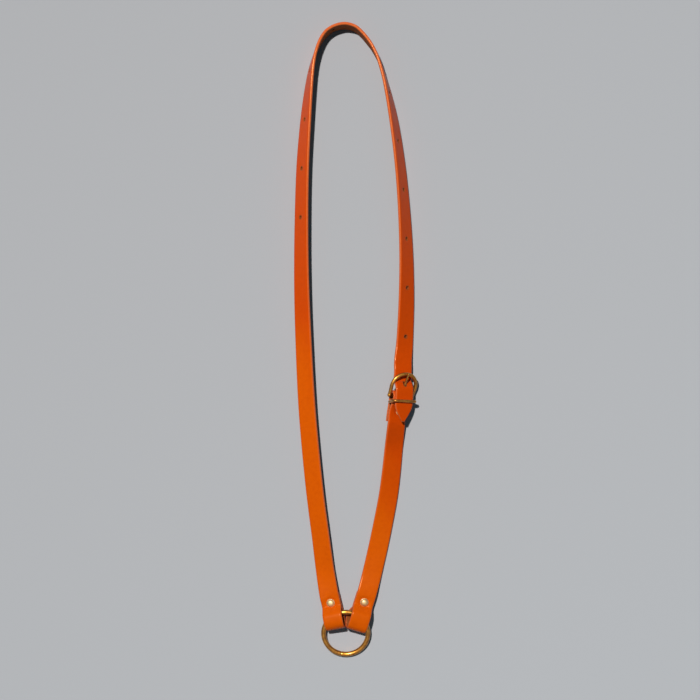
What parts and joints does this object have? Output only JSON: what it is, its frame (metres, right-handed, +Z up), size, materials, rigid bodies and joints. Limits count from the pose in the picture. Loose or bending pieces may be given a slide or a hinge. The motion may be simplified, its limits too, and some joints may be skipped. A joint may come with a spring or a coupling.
{
  "type": "martingale",
  "caption": "Long narrow leather martingale loop: a punched pointed strap and a short buckle strap, both riveted round one brass ring, closed by a horseshoe buckle with a wire keeper.",
  "frame": {"origin": "middle of the whole object seen from above, on the surface that it lies on", "axes": "+Y from the ring up the long loop, +Z up from the surface, +X towards the buckle side"},
  "size_m": [0.1256, 0.6438, 0.0265],
  "materials": {
    "tan_leather": "vegetable-tanned bridle leather, waxed, satin",
    "brass": "antiqued solid brass, worn bright on the crowns",
    "rivet_brass": "pressed brass rivet, lightly tarnished"
  },
  "bodies": {
    "straps": {"neck_strap": "tan_leather", "buckle_strap": "tan_leather", "neck_strap_rivet_cap": "rivet_brass", "neck_strap_rivet_flange": "rivet_brass", "buckle_strap_rivet_cap": "rivet_brass", "buckle_strap_rivet_flange": "rivet_brass", "buckle_fold_rivet_cap": "rivet_brass", "buckle_fold_rivet_flange": "rivet_brass"},
    "ring": {"ring": "brass"},
    "buckle_frame": {"buckle_frame": "brass"},
    "buckle_tongue": {"buckle_tongue": "brass"},
    "keeper": {"keeper": "brass"}
  },
  "joints": [
    {"name": "ring_turn", "type": "hinge", "parent": "straps", "child": "ring", "pos_m": [-0.00992, -0.29717, 0.0066], "axis": [0, -0.1778, 0.9841], "continuous": true},
    {"name": "frame_pivot", "type": "hinge", "parent": "straps", "child": "buckle_frame", "pos_m": [0.04552, -0.05603, 0.01019], "axis": [0.8696, -0.1354, -0.4748], "range_deg": [-3, 0]},
    {"name": "tongue_pivot", "type": "hinge", "parent": "straps", "child": "buckle_tongue", "pos_m": [0.04552, -0.05603, 0.01019], "axis": [0.8888, -0.0622, -0.454], "range_deg": [0, 1]},
    {"name": "keeper_tilt", "type": "hinge", "parent": "straps", "child": "keeper", "pos_m": [0.04466, -0.06209, 0.00935], "axis": [0.8888, -0.0622, -0.454], "range_deg": [-4, 12]}
  ]
}
